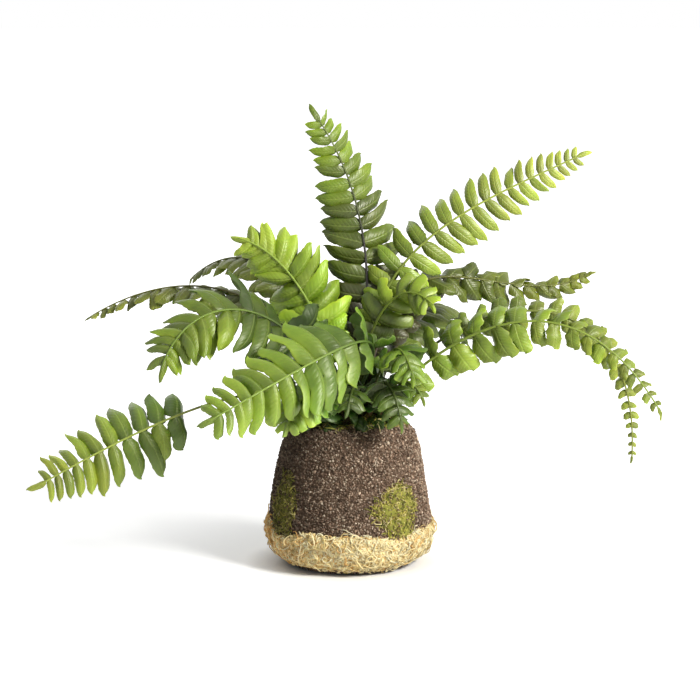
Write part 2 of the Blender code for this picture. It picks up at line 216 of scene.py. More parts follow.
class Shape:
    """Points, faces and attributes of one piece, gathered a batch at a time."""

    def __init__(self):
        self.points, self.tints, self.places, self.faces, self.slots = [], [], [], [], []
        self.count = 0

    def add(self, points, faces, tint, place=(0, 0, 0), slot=0):
        """faces is a list of arrays of point numbers, with a row for each face."""
        points = np.asarray(points, float).reshape(-1, 3)
        for batch in faces:
            self.faces.append(np.asarray(batch, int) + self.count)
            self.slots.append(np.full(len(batch), slot))
        self.points.append(points)
        for kept, values in ((self.tints, tint), (self.places, place)):
            kept.append(np.broadcast_to(np.asarray(values, float).reshape(-1, 3), points.shape))
        self.count += len(points)

    def build(self, node, materials, slot):
        """Makes the finished piece, which rides on the part's body in place of its CAD node."""
        mesh = bpy.data.meshes.new(node)
        mesh.vertices.add(self.count)
        mesh.vertices.foreach_set("co", (np.concatenate(self.points) * MM).astype(np.float32).ravel())
        sizes = np.concatenate([np.full(len(f), f.shape[1]) for f in self.faces])
        mesh.loops.add(int(sizes.sum()))
        mesh.loops.foreach_set("vertex_index", np.concatenate([f.ravel() for f in self.faces]))
        mesh.polygons.add(len(sizes))
        mesh.polygons.foreach_set("loop_start", np.cumsum(sizes) - sizes)
        mesh.polygons.foreach_set("material_index", np.concatenate(self.slots))
        for key, values in (("tint", self.tints), ("place", self.places)):
            made = mesh.attributes.new(key, "FLOAT_VECTOR", "POINT")
            made.data.foreach_set("vector", np.concatenate(values).astype(np.float32).ravel())
        mesh.update(calc_edges=True)
        edited = bmesh.new()
        edited.from_mesh(mesh)
        bmesh.ops.recalc_face_normals(edited, faces=edited.faces)
        edited.to_mesh(mesh)
        edited.free()
        mesh.shade_smooth()
        for material in materials:
            mesh.materials.append(material)
        piece = link(node, mesh)
        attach(piece, "root")
        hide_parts(node)


def quads(*corners):
    """Faces that have a point from each of four grids of point numbers."""
    return np.stack([c.ravel() for c in corners], 1)


def leaf_faces(rows, columns):
    """Faces of a closed leaf: an upper and a lower grid of points, and the rim between them."""
    grid = np.arange((rows + 1) * (columns + 1)).reshape(rows + 1, columns + 1)
    upper = quads(grid[:-1, :-1], grid[1:, :-1], grid[1:, 1:], grid[:-1, 1:])
    loop = np.concatenate([grid[0, :-1], grid[:-1, -1], grid[-1, :0:-1], grid[:0:-1, 0]])
    after = np.roll(loop, -1)
    rim = quads(after, loop, loop + grid.size, after + grid.size)
    return [upper, upper[:, ::-1] + grid.size, rim]


def ring_faces(rings, around):
    """Faces of a closed solid of rings of points, with a point in the middle of each end."""
    index = np.arange(rings * around).reshape(rings, around)
    ahead = np.roll(index, -1, axis=1)
    ends = [np.stack([index[k], ahead[k], np.full(around, index.size + j)], 1) for k, j in ((0, 0), (-1, 1))]
    return [quads(index[:-1], index[1:], ahead[1:], ahead[:-1]), *ends]


def tubes(paths, normals, radii, sides, tint):
    """Points, faces and tints of closed tubes. paths and normals are strands x stations x 3."""
    paths, normals = np.asarray(paths, float), np.asarray(normals, float)
    count, stations = paths.shape[:2]
    tangent = np.gradient(paths, axis=1)
    tangent /= np.linalg.norm(tangent, axis=2, keepdims=True) + 1e-9
    across = np.cross(tangent, normals)
    across /= np.linalg.norm(across, axis=2, keepdims=True) + 1e-9
    outward = np.cross(across, tangent)
    turn = math.tau * np.arange(sides) / sides
    ring = across[:, :, None] * np.cos(turn)[:, None] + outward[:, :, None] * np.sin(turn)[:, None]
    radii = np.broadcast_to(np.asarray(radii, float), (count, stations))
    points = paths[:, :, None] + ring * radii[:, :, None, None]
    index = np.arange(count * stations * sides).reshape(count, stations, sides)
    ahead = np.roll(index, -1, axis=2)
    faces = [quads(index[:, :-1], ahead[:, :-1], ahead[:, 1:], index[:, 1:])]
    for k in range(1, sides - 1):
        faces += [index[:, 0][:, [0, k + 1, k]], index[:, -1][:, [0, k, k + 1]]]
    tint = np.broadcast_to(np.asarray(tint, float).reshape(-1, 1, 1, 3), points.shape)
    return points.reshape(-1, 3), faces, tint.reshape(-1, 3)


def crumb(points):
    """The points of a crumb, 1 from its middle, and the faces of the convex solid through them."""
    points = np.array(points, float) / np.linalg.norm(points[0])
    shape = bmesh.new()
    for p in points:
        shape.verts.new(p)
    hull = bmesh.ops.convex_hull(shape, input=shape.verts)
    shape.verts.index_update()
    faces = [[v.index for v in f.verts] for f in hull["geom"] if isinstance(f, bmesh.types.BMFace)]
    shape.free()
    return points, np.array(faces)


GOLDEN = (1 + 5**0.5) / 2
SIGNS = [(s, t * GOLDEN) for s in (-1, 1) for t in (-1, 1)]
COARSE_CRUMB = crumb([p for a, b in SIGNS for p in ((a, b, 0), (0, a, b), (b, 0, a))])
FINE_CRUMB = crumb(np.concatenate([np.eye(3), -np.eye(3)]))


def random_turns(rng, count):
    """Random rotation matrices."""
    first = rng.normal(size=(count, 3))
    first /= np.linalg.norm(first, axis=1, keepdims=True)
    second = np.cross(first, rng.normal(size=(count, 3)))
    second /= np.linalg.norm(second, axis=1, keepdims=True)
    return np.stack([first, second, np.cross(first, second)], 2)


def grains(solid, centres, sizes, tints, rng):
    """Points, faces and tints of crumbs, each knocked out of shape and turned its own way."""
    base, faces = solid
    count, corners = len(centres), len(base)
    rough = base * rng.uniform(0.78, 1.2, (count, corners, 1)) * rng.uniform(0.7, 1.2, (count, 1, 3))
    points = np.einsum("nij,nkj->nki", random_turns(rng, count), rough) * sizes[:, None, None]
    points += centres[:, None]
    index = (faces + corners * np.arange(count)[:, None, None]).reshape(-1, 3)
    return points.reshape(-1, 3), [index], np.repeat(tints, corners, axis=0)


# -------- root ball

GAP = 0.3  # between pieces that touch, as in the CAD
BALL_TOP = 78.0
# (radius, height) down its side, as in the CAD.
BALL_PROFILE = [(0, 78), (22, 78), (29, 76), (33.5, 71.5), (36.5, 63), (39, 50), (41, 38), (42.5, 26)]
BALL_PROFILE = np.array([*BALL_PROFILE, (42.8, 18), (40, 9), (35, 3), (30, 0), (0, 0)])
BALL_WALKED = np.concatenate([[0], np.cumsum(np.hypot(*np.diff(BALL_PROFILE, axis=0).T))])
FOOT = BALL_WALKED[-2]  # where the side meets the flat underside
LOWEST = 0.05  # how near its skin comes to the surface that it stands on
CRUMB_REACH = 1.45  # how far a crumb's corners may reach, as a share of its size


def polar(radius, angle, height):
    """Points at a radius and an angle round the Z axis."""
    return np.stack(np.broadcast_arrays(radius * np.cos(angle), radius * np.sin(angle), height), -1)


def profile(walked):
    """Radius and height of the ball's side. walked is the way down its skin from the top's middle."""
    return [np.interp(walked, BALL_WALKED, column) for column in BALL_PROFILE.T]


def on_ball(angle, walked, offset=0.0):
    """Points at an offset from the ball's skin, and its normals there."""
    angle, walked = np.asarray(angle, float), np.asarray(walked, float)
    radius, height = profile(walked)
    fade = np.minimum(1, height / 8) * np.clip((BALL_TOP - height) / 6, 0, 1)
    radius = radius * (1 + fade * (0.012 * np.sin(2 * angle + 0.8) + 0.008 * np.sin(5 * angle + height / 9)))
    step = 1.5
    dr, dz = (after - before for before, after in zip(profile(walked - step), profile(walked + step)))
    size = np.hypot(dr, dz) + 1e-9
    normal = polar(-dz / size, angle, dr / size)
    return polar(radius, angle, height) + normal * np.asarray(offset, float)[..., None], normal


def walked_at(height):
    """How far down the skin a height on the ball's side is."""
    return np.interp(-np.asarray(height, float), -BALL_PROFILE[1:-1, 1], BALL_WALKED[1:-1])


def wander(rng, angle, walked, length, stations, bend, lift, low=0.0, high=FOOT):
    """Paths and normals of strands on the ball, which set off in a random direction, curve and bulge."""
    count = len(angle)
    heading = rng.uniform(0, math.tau, count)
    curve = rng.normal(0, bend, count)
    step = (length / (stations - 1))[:, None]
    turn = heading[:, None] + curve[:, None] * np.arange(stations)
    turn += np.cumsum(rng.normal(0, 0.35 * bend, (count, stations)), axis=1)
    down = walked[:, None] + np.cumsum(np.sin(turn) * step, axis=1) - np.sin(turn[:, :1]) * step
    down = np.clip(down, low, high)
    radius = np.maximum(12, profile(down)[0])
    around = angle[:, None] + np.cumsum(np.cos(turn) * step / radius, axis=1)
    share = np.linspace(0, 1, stations)
    rise = rng.uniform(0.2, 1, (count, 1)) * np.sin(math.pi * share * rng.uniform(0.6, 1.6, (count, 1)))
    return on_ball(around, down, lift[:, None] * (0.35 + np.abs(rise)))


def pick(rng, palette, weights, count, spread=0.12):
    """Tints chosen from a palette, each a little lighter or darker than the next."""
    weights = np.array(weights, float)
    chosen = rng.choice(len(palette), count, p=weights / weights.sum())
    return np.array([srgb(*c) for c in palette])[chosen] * np.exp(rng.normal(0, spread, (count, 1)))


SOIL = [(126, 102, 84), (150, 127, 107), (170, 150, 130), (200, 183, 161), (90, 71, 57)]
SOIL_BELOW = (104, 85, 69)
STRAW = [(255, 240, 190), (255, 233, 172), (244, 214, 148), (255, 245, 204), (222, 178, 110), (232, 212, 144)]
MOSS = [(174, 164, 76), (136, 136, 58), (90, 96, 42), (196, 184, 104), (136, 106, 62), (214, 200, 142)]


def lumpy(points, size, depth, seed):
    """How far noise pushes each point out, in millimetres."""
    shift = Vector((seed * 13.7, seed * 5.3, seed * 9.1))
    return np.array([noise.noise(Vector(p) / size + shift) for p in points.reshape(-1, 3)]) * depth


def painted_side_shade(angle):
    """Painted shade of the soil: a tint that is darker on the left and at the back, away from the key lamp.
    """
    return np.clip(0.68 + 0.56 * np.cos(angle + 0.6), 0.5, 1.1)


def build_root_ball(material):
    """The ball's skin under crumbs of two sizes, with fine hairs among them."""
    rng = np.random.default_rng(11)
    shape = Shape()
    around, down = 110, 60
    angle = np.linspace(0, math.tau, around, endpoint=False)
    walked = np.concatenate([np.linspace(1.5, FOOT, down), [FOOT + 2, BALL_WALKED[-1] - 1]])[:, None]
    points, normal = on_ball(angle, walked, -0.45)
    points = points.reshape(-1, 3) + normal.reshape(-1, 3) * lumpy(points, 3.2, 0.5, 1)[:, None]
    points[:, 2] = np.maximum(points[:, 2], LOWEST)
    ends = [(0, 0, BALL_TOP - 0.4), (0, 0, LOWEST)]
    shape.add(np.concatenate([points, ends]), ring_faces(len(walked), around), srgb(*SOIL_BELOW))
    # (crumb, distance between them, smallest, largest, and how far their middles stand out at most)
    for solid, spacing, small, large, stand in (
        (COARSE_CRUMB, 2.9, 0.55, 0.9, 0.3),
        (FINE_CRUMB, 1.14, 0.44, 0.74, 0.5),
    ):
        spots = []
        for level in np.arange(1.0, FOOT + 1.5, spacing):
            radius = max(0.5, float(profile(level)[0]))
            number = max(3, round(math.tau * radius / spacing))
            turns = (np.arange(number) + rng.uniform(-0.45, 0.45, number)) * math.tau / number + level
            spots.append(np.stack([turns, level + rng.uniform(-0.5, 0.5, number) * spacing], 1))
        spots = np.concatenate(spots)
        height = profile(spots[:, 1])[1]
        under_wrap, under_crown = (height > 6) & (height < 18), spots[:, 1] < 12
        spots = spots[~(under_wrap | under_crown)]
        sizes = rng.uniform(small, large, len(spots))
        centres, _ = on_ball(spots[:, 0], spots[:, 1], rng.uniform(-0.35, stand, len(spots)))
        centres[:, 2] = np.maximum(centres[:, 2], sizes * CRUMB_REACH)
        # The crumbs' tints carry painted shade, darker on the left and at the back.
        tints = pick(rng, SOIL, (28, 32, 22, 6, 13), len(spots), 0.22) * painted_side_shade(spots[:, :1])
        shape.add(*grains(solid, centres, sizes, tints, rng))
    hairs = 300
    angle, walked = rng.uniform(0, math.tau, hairs), rng.uniform(18, walked_at(18), hairs)
    length = rng.uniform(1.8, 4.5, hairs)
    paths, normals = wander(rng, angle, walked, length, 4, 0.35, rng.uniform(0.5, 1.2, hairs))
    # The hairs' tints carry the same painted shade.
    tints = pick(rng, SOIL, (4, 4, 4, 1, 3), hairs, 0.2) * painted_side_shade(angle[:, None])
    shape.add(*tubes(paths, normals, rng.uniform(0.13, 0.24, (hairs, 1)), 3, tints))
    shape.build("root_ball", [material], "soil")


# -------- fibre wrap and moss

WRAP_FOOT = 3.6  # height of the wrap's lower edge
# As in the CAD, with the height of the pad's middle. shade is how light its moss is, lower on the pads on the
# left and at the back as painted shade.
Pad = namedtuple("Pad", "name degrees middle half_width half_height shade")
MOSS_PADS = [
    Pad("moss_pad_front_right", -52.0, 34.5, 13.0, 12.0, 1.0),
    Pad("moss_pad_front_left", -147.0, 35.0, 8.0, 14.0, 0.6),
    Pad("moss_pad_back", 82.0, 37.0, 12.0, 11.0, 0.8),
]


def wrap_top(angle):
    """Height of the wrap's ragged top edge, which dips under the moss pads and climbs on the left."""
    height = 22 + 1.4 * np.sin(3 * angle + 1) + 0.9 * np.sin(8 * angle)
    for pad in MOSS_PADS:
        away = (angle - math.radians(pad.degrees) + math.pi) % math.tau - math.pi
        height = np.minimum(height, pad.middle - pad.half_height - 2 + 30 * away * away)
    side = (angle - 3.2 + math.pi) % math.tau - math.pi
    return np.maximum(height, 20) + 6 * np.exp(-((side / 0.28) ** 2))


def felt(angle, height):
    """Thickness of the lumpy band under its loose fibres."""
    lump = 0.5 * np.sin(6 * angle + height / 3) + 0.4 * np.sin(11 * angle + 2 - height / 4)
    lump += 0.35 * np.sin(17 * angle + 1) * np.sin(height / 2)
    return (1.3 + 0.55 * lump) * np.clip((height - 2) / 5, 0.25, 1)


def build_fibre_wrap(material):
    """A lumpy band under a felt of short curly fibres, with longer ones that stray over its edges."""
    rng = np.random.default_rng(5)
    shape = Shape()
    around = 180
    angle = np.linspace(0, math.tau, around, endpoint=False)
    top = wrap_top(angle)
    outer = (WRAP_FOOT, 5.5, 8.0, 10.5, 13.0, 15.5, 18.0)
    rows = [on_ball(angle, walked_at(z), felt(angle, z))[0] for z in outer]
    rows += [on_ball(angle, walked_at(top - 1), 0.6 * felt(angle, top))[0], on_ball(angle, walked_at(top))[0]]
    rows += [on_ball(angle, walked_at(z), -0.8)[0] for z in (17, 9, WRAP_FOOT)]
    index = np.arange(len(rows) * around).reshape(len(rows), around)
    next_row = np.roll(index, -1, axis=0)
    band = quads(index, np.roll(index, -1, axis=1), np.roll(next_row, -1, axis=1), next_row)
    shape.add(rows, [band], srgb(240, 210, 150))
    # (strands, shortest, longest, highest lift, how far over the top edge, stations, bend)
    for count, short, long, high, over, stations, bend in (
        (4500, 2.5, 7, 0.8, 1.2, 6, 0.9),
        (500, 6, 14, 2.0, 5.0, 8, 0.5),
    ):
        angle = rng.uniform(0, math.tau, count)
        height = 2.5 + (wrap_top(angle) - 2) * rng.random(count) ** 0.85
        lift = rng.uniform(0.1, high, count)
        edge = walked_at(wrap_top(angle) + over * rng.random(count) ** 1.5)[:, None]
        foot = walked_at(WRAP_FOOT + 1.4 * np.sin(3 * angle + 2) + rng.uniform(-1.4, 1.4, count))[:, None]
        length = rng.uniform(short, long, count)
        paths, normals = wander(rng, angle, walked_at(height), length, stations, bend, lift, edge, foot)
        around, level = np.arctan2(paths[..., 1], paths[..., 0]), paths[..., 2]
        covered = np.clip((wrap_top(around) + 1 - level) / 3, 0, 1)
        paths += normals * (felt(around, level) * covered)[..., None]
        paths[:, :, 2] = np.maximum(paths[:, :, 2], 0.5)
        tints = pick(rng, STRAW, (34, 26, 12, 24, 6, 2), count, 0.1)
        # Fibres that lie low in the felt are darker and warmer, as painted shade under those over them, a
        # stretch on the left is tan, and the right is darker, as painted shade.
        shade = 1.05 + 0.05 * np.sin(5 * angle + 0.7) * np.sin(height / 4 + 2 * angle)
        painted_crevice_shade = 0.28 * np.clip(1 - lift / 0.4, 0, 1)[:, None] * (0.5, 0.8, 1.4)
        tan = np.clip(3 * np.cos(angle - 3.3) - 2, 0, 1) * rng.choice([0.1, 1], count)
        tan = tan[:, None] * (0.12, 0.38, 0.62)
        painted_shade_right = 0.2 * np.clip(np.cos(angle + 0.3), 0, 1)[:, None]
        tints *= shade[:, None] * (1 - tan) * (1 - painted_crevice_shade) * (1 - painted_shade_right)
        shape.add(*tubes(paths, normals, rng.uniform(0.24, 0.42, (count, 1)), 3, tints))
    shape.build("fibre_wrap", [material], "fibre")


def build_moss_pad(material, pad, seed):
    """A thin pad that hugs the ball, under a mat of short curly shoots with crumbs in it."""
    rng = np.random.default_rng(seed)
    shape = Shape()
    turn = math.radians(pad.degrees)

    def spot(share, around):
        """Angle and way down the skin, at a share of the way to the pad's ragged edge."""
        wave = 1 + 0.12 * np.sin(3 * around + pad.degrees) + 0.07 * np.sin(5 * around)
        down = np.clip(-np.sin(around), 0, 1)
        height = pad.middle + share * wave * pad.half_height * np.sin(around) * (1 + 0.3 * down)
        across = share * wave * pad.half_width * np.cos(around) * (0.92 - 0.3 * down)
        walked = walked_at(height)
        return turn + across / profile(walked)[0], walked

    spokes = 40
    around = np.linspace(0, math.tau, spokes, endpoint=False)
    # (share of the way to the edge, lift off the ball). Its upper side comes first, then its underside.
    rings = [(0.3, 1.6), (0.6, 1.5), (0.85, 1.1), (1.0, 0.6), (1.0, -0.6), (0.5, -0.6)]
    points = np.stack([on_ball(*spot(share, around), lift)[0] for share, lift in rings])
    _, outward = on_ball(turn, walked_at(pad.middle))
    points[:4] += outward * lumpy(points[:4], 2.4, 1.2, seed).reshape(4, spokes, 1)
    points = np.concatenate([points.reshape(-1, 3), points[[0, -1]].mean(1)])
    shape.add(points, ring_faces(len(rings), spokes), np.array(srgb(*MOSS[1])) * pad.shade)
    count = 1100
    share, around = rng.random(count) ** 0.6 * 1.1, rng.uniform(0, math.tau, count)
    angle, walked = spot(share, around)
    length = rng.uniform(2.0, 5.5, count)
    lift = rng.uniform(0.8, 2.2, count) * (1.15 - 0.5 * share)
    paths, normals = wander(rng, angle, walked, length, 5, 0.8, lift)
    tints = pick(rng, MOSS, (26, 26, 12, 22, 5, 12), count, 0.2) * pad.shade
    shape.add(*tubes(paths, normals, rng.uniform(0.18, 0.36, (count, 1)), 3, tints))
    count = 800
    share, around = rng.random(count) ** 0.35 * 1.15, rng.uniform(0, math.tau, count)
    centres, _ = on_ball(*spot(share, around), rng.uniform(0.9, 2.1, count) * (1.3 - 0.6 * share))
    palette = [SOIL[0], SOIL[4], MOSS[1], MOSS[3], MOSS[5]]
    tints = pick(rng, palette, (5, 4, 4, 3, 1), count, 0.2) * pad.shade
    shape.add(*grains(FINE_CRUMB, centres, rng.uniform(0.35, 0.6, count), tints, rng))
    shape.build(pad.name, [material], "moss")


# -------- fronds

# As in the CAD: seat is where the stem leaves the crown. rise and arch are the handles of the Bezier curve
# that its midrib follows, and tip is where it ends. face is the way that the blade looks, twist is how far
# it turns from stem to tip in degrees, pinna is its longest leaflet, bare is the length of stem with no
# leaflets, and taper is how late the leaflets shorten towards the tip.
Frond = namedtuple("Frond", "name seat rise arch tip face twist pinna pairs bare taper", defaults=(2.4,))
FRONDS = [Frond(*row) for row in (
    ("frond_upright", (3, 5), (16, 12, 150), (10, 20, 200), (-22, 22, 244),
        (0.05, -1, 0.3), 20, 26, 16, 34, 2.2),
    ("frond_upper_right", (7, 0), (2, 8, 172), (64, 14, 190), (129, 20, 220),
        (0, -0.65, 0.8), 38, 21, 20, 44, 2.8),
    ("frond_mid_right", (9, 6), (18, 14, 205), (84, 36, 120), (134, 48, 151),
        (-0.2, -0.7, 0.9), 25, 18, 15, 44, 3.0),
    ("frond_arch_right", (14, -4), (48, -10, 126), (116, -22, 172), (165, -30, 84),
        (0.1, -1, 0.5), -10, 17, 17, 26, 3.0),
    ("frond_droop_right", (14, 2), (50, 4, 150), (158, 4, 168), (151, 0, 53),
        (0, -1, 0.5), 0, 11, 22, 40),
    ("frond_upper_left", (-4, -3), (-9, -4, 122), (-30, 4, 172), (-64, 8, 175),
        (-0.15, -1, 0.15), 0, 27, 13, 28, 2.2),
    ("frond_curl_left", (-10, 0), (-25, -14, 151), (-87, -46, 163), (-99, -60, 109),
        (0.1, -1, 1.1), 0, 30, 14, 32, 2.6),
    ("frond_long_left", (-14, -5), (-38, -28, 116), (-104, -58, 88), (-165, -76, 55),
        (0, -1, 0.6), 0, 26, 11, 90),
    ("frond_front_left", (0, -9), (33, -26, 150), (0, -70, 132), (-75, -110, 96),
        (-0.1, -1, 0.35), 0, 26, 15, 28, 4.5),
    ("frond_front_short", (-5, -12), (-9, -30, 108), (-26, -62, 112), (-34, -78, 84),
        (0, -0.7, 1), 0, 19, 7, 22, 2.8),
    ("frond_front_right", (9, -7), (20, -18, 124), (26, -36, 134), (34, -54, 106),
        (0.2, -0.7, 1), 0, 19, 7, 24),
    ("frond_low_right", (10, -12), (15, -27, 112), (22, -41, 112), (28, -49, 80),
        (0.4, -0.7, 1), 0, 17, 6, 18),
    ("frond_front_mid", (3, -14), (4, -32, 104), (2, -52, 112), (-2, -66, 92),
        (0, -0.8, 1), 0, 16, 5, 20),
    ("frond_side_right", (15, -8), (22, -14, 104), (32, -20, 110), (40, -26, 90),
        (0.2, -0.8, 1), 0, 14, 5, 17),
    ("frond_inner_right", (3, -2), (8, -6, 140), (28, -15, 162), (45, -34, 143),
        (0.1, -1, 0.5), 0, 18, 7, 36),
    ("frond_back_right", (7, 11), (16, 30, 140), (44, 50, 160), (72, 64, 138),
        (-0.2, -0.4, 1), 0, 18, 12, 28),
    ("frond_back_left", (-5, 9), (-15, 30, 150), (-58, 76, 175), (-92, 100, 136),
        (0, -0.3, 1), 0, 19, 15, 30),
    ("frond_back", (1, 13), (2, 35, 150), (8, 110, 160), (10, 150, 100),
        (0, -0.2, 1), 0, 19, 16, 30),
    ("frond_back_far_right", (13, 9), (26, 34, 130), (56, 95, 150), (66, 130, 92),
        (0, -0.2, 1), 0, 18, 15, 28),
    ("frond_far_left", (-12, 5), (-30, 20, 150), (-90, 45, 160), (-147, 60, 121),
        (0, -0.4, 1), 15, 17, 16, 32),
)]
# How leaflets grow: how unruly they are, their half width as a share of the pitch, how narrow their roots and
# how blunt their ends are, how far the edge nearer the frond's tip is raised in degrees, how deeply they are
# cupped, how far they curve towards the tip, and how many degrees they lean to it.
Style = namedtuple("Style", "mess width neck blunt roll cup sickle rake")
WAVY = Style(1.2, 0.54, 0.4, 0.45, 8, 0.45, 0.07, 0)
NARROW = Style(0.9, 0.44, 0.55, 0.45, 6, 0.5, 0.05, 0)
PADDLE = Style(1.2, 0.52, 0.42, 0.55, 10, 0.9, 0.05, -4)
SHINGLED = Style(1.5, 0.56, 0.28, 0.75, 18, 1.15, 0.04, 2)
FINGERED = Style(1.6, 0.62, 0.25, 0.4, 14, 1.0, 0.1, 4)
CANOPY = Style(1.9, 0.86, 0.12, 0.45, 16, 1.1, 0.08, 4)
SQUARE = Style(1.9, 0.44, 0.8, 1.0, 10, 0.5, 0.02, 0)
RUFFLED = Style(1.5, 0.56, 0.3, 0.5, 10, 0.7, 0.06, 0)
RAGGED = Style(2.4, 0.56, 0.35, 0.2, 8, 0.6, 0.12, 26)
# Leaflet colour near the crown and at the frond's tip, then stem colour at its foot and along the blade.
# young and waning are how much shorter the leaflets nearest the crown and past the middle are, swept is how
# far the leaflets on one side lean back to the crown, and browner is how much further up the stem is brown.
Look = namedtuple("Look", "inner outer foot stem style young waning swept browner", defaults=(0.12, 0, 0, 0))
# A darker inner colour is partly the older leaflets' own colour and partly painted shade near the crown.
# frond_low_right and frond_front_mid are very dark as painted shade in the gap under frond_front_left.
# frond_upright's dark brown lower part is partly its own colour and partly painted shade.
LOOKS = {
    "frond_upright": Look((28, 20, 4), (120, 146, 30), (18, 10, 4), (92, 108, 28), WAVY, browner=0.22),
    "frond_upper_right": Look((114, 140, 38), (164, 176, 66), (102, 120, 38), (154, 168, 66),
        NARROW, young=0.38),
    "frond_mid_right": Look((76, 90, 14), (106, 116, 18), (66, 58, 10), (94, 100, 18), RAGGED),
    "frond_arch_right": Look((128, 156, 42), (112, 122, 34), (112, 132, 40), (126, 146, 44),
        SQUARE, young=-0.1, waning=0.24),
    "frond_droop_right": Look((94, 112, 32), (144, 156, 56), (88, 100, 30), (126, 136, 46), RUFFLED),
    "frond_upper_left": Look((130, 164, 40), (162, 186, 64), (114, 144, 36), (148, 174, 64),
        CANOPY, young=0.3),
    "frond_curl_left": Look((50, 72, 26), (124, 146, 40), (46, 64, 26), (116, 142, 46), FINGERED),
    "frond_long_left": Look((92, 120, 40), (162, 176, 62), (76, 64, 32), (156, 172, 70), PADDLE, swept=18),
    "frond_front_left": Look((74, 104, 24), (130, 154, 52), (60, 86, 22), (130, 156, 56),
        SHINGLED, young=0.65, swept=12),
    "frond_front_short": Look((86, 126, 38), (150, 178, 66), (82, 112, 34), (140, 168, 62), SHINGLED),
    "frond_front_right": Look((62, 92, 22), (108, 134, 34), (72, 82, 18), (108, 132, 36), SHINGLED),
    "frond_low_right": Look((36, 58, 10), (72, 94, 18), (46, 52, 8), (72, 90, 18), RUFFLED),
    "frond_front_mid": Look((32, 54, 10), (64, 84, 14), (46, 50, 8), (64, 80, 16), RUFFLED),
    "frond_side_right": Look((62, 94, 24), (114, 134, 36), (62, 80, 22), (106, 128, 36), RUFFLED),
    "frond_inner_right": Look((82, 100, 26), (134, 158, 42), (74, 78, 24), (126, 148, 44), SHINGLED),
    "frond_back_right": Look((48, 46, 20), (70, 70, 28), (44, 30, 16), (64, 62, 26), RUFFLED),
    "frond_back_left": Look((84, 96, 32), (122, 132, 46), (72, 60, 26), (108, 116, 44), RUFFLED),
    "frond_back": Look((72, 88, 28), (112, 128, 40), (60, 54, 22), (98, 110, 40), WAVY),
    "frond_back_far_right": Look((72, 88, 28), (110, 124, 40), (60, 54, 22), (96, 106, 40), WAVY),
    "frond_far_left": Look((84, 96, 32), (132, 140, 48), (78, 60, 26), (116, 120, 44), RUFFLED),
}
# The next values are as in the CAD. (radius, rise) from the crown's middle to its rim.
CROWN_PROFILE = [(0, 8), (6, 7.6), (12, 6.2), (16.5, 3.8), (19, 1.2), (19.5, 0)]
SOCKET_DEPTH = 3.5
STEM_WIDTH = 1.8
DROOP = -14  # degrees that leaflets are raised out of the blade
LEAN_AT_STEM, LEAN_AT_TIP = 90, 66  # degrees between a leaflet and the midrib
# Where a leaflet would touch others, the CAD turns it by one of LIFTS, then shortens it to one of SHARES.
LIFTS = (0, 14, -14, 28, -28, 42, -42)
SHARES = (1.0, 0.85, 0.7, 0.55, 0.4, 0.3)
TIP_DROP = 0.12  # how far a leaflet's tip drops, as a share of its length
TIP_LEAFLET = 0.4  # the leaflet at the frond's end, as a share of its longest one

SAME_POINT = 0.03  # how near a leaflet's tip is to the solid's point for it, in millimetres
YOUNG_REACH = 55  # the first part of the blade, along which leaflets come to their full length
ROWS, COLUMNS = 19, 8
STEM_SIDES = 10


class Midrib:
    """The line that a frond's stem follows, with the blade's frame at each place along it."""

    def __init__(self, frond):
        radii, rises = zip(*CROWN_PROFILE)
        height = BALL_TOP + GAP + float(np.interp(math.hypot(*frond.seat), radii, rises))
        seat = Vector((*frond.seat, height))
        start = seat - (Vector(frond.rise) - seat).normalized() * SOCKET_DEPTH
        line = interpolate_bezier(start, *map(Vector, (frond.rise, frond.arch, frond.tip)), 160)
        self.line = np.array([tuple(p) for p in line])
        steps = np.linalg.norm(np.diff(self.line, axis=0), axis=1)
        self.walked = np.concatenate([[0], np.cumsum(steps)])
        self.frond, self.length = frond, self.walked[-1]

    def at(self, distance):
        """(point, tangent, normal, side) at a distance from the stem's end."""
        here, before, after = (
            Vector([float(np.interp(d, self.walked, column)) for column in self.line.T])
            for d in (distance, max(0.0, distance - 1), min(self.length, distance + 1))
        )
        tangent = (after - before).normalized()
        face = Vector(self.frond.face)
        normal = (face - tangent * face.dot(tangent)).normalized()
        turn = math.radians(self.frond.twist) * distance / self.length
        normal = Matrix.Rotation(turn, 3, tangent) @ normal
        return here, tangent, normal, tangent.cross(normal)

    def edges(self):
        """Distances of the places between one pair of leaflets and the next."""
        blade = self.length - self.frond.bare - TIP_LEAFLET * self.frond.pinna
        shares = [k / self.frond.pairs for k in range(self.frond.pairs + 1)]
        return [self.frond.bare + blade * s * (1.45 - 0.45 * s) for s in shares]

    def share(self, distance):
        """How far along the blade a place is, from 0 at the lowest leaflet to 1 at the tip."""
        return (distance - self.frond.bare) / (self.length - self.frond.bare)

    def lean(self, distance):
        """Angle between a leaflet and the stem, before it goes its own way."""
        return math.radians(LEAN_AT_STEM + (LEAN_AT_TIP - LEAN_AT_STEM) * self.share(distance))

    def leaflet(self, distance, hand, lift):
        """(length, axes) of a solid's leaflet, with the axes along it, across it and over it."""
        share = self.share(distance)
        length = self.frond.pinna * (0.62 + 0.38 * min(1.0, share / 0.25))
        length *= 1 - 0.82 * share**self.frond.taper
        _, tangent, normal, side = self.at(distance)
        swing = math.radians(DROOP + lift)
        return length, self.axes(tangent, normal, side, hand, self.lean(distance), swing)

    @staticmethod
    def axes(tangent, normal, side, hand, lean, swing):
        """Axes of a leaflet that leans from the tangent and swings out of the blade."""
        outward = side * hand * math.cos(swing) + normal * math.sin(swing)
        along = tangent * math.cos(lean) + outward * math.sin(lean)
        forward = tangent * math.sin(lean) - outward * math.cos(lean)
        return along, forward, along.cross(forward) * hand


def solid_tips(node):
    """A tree that finds the points of a CAD solid, in millimetres."""
    points = [v.co / MM for v in frame["nodes"][node].data.vertices]
    tree = KDTree(len(points))
    for k, p in enumerate(points):
        tree.insert(p, k)
    tree.balance()
    return tree


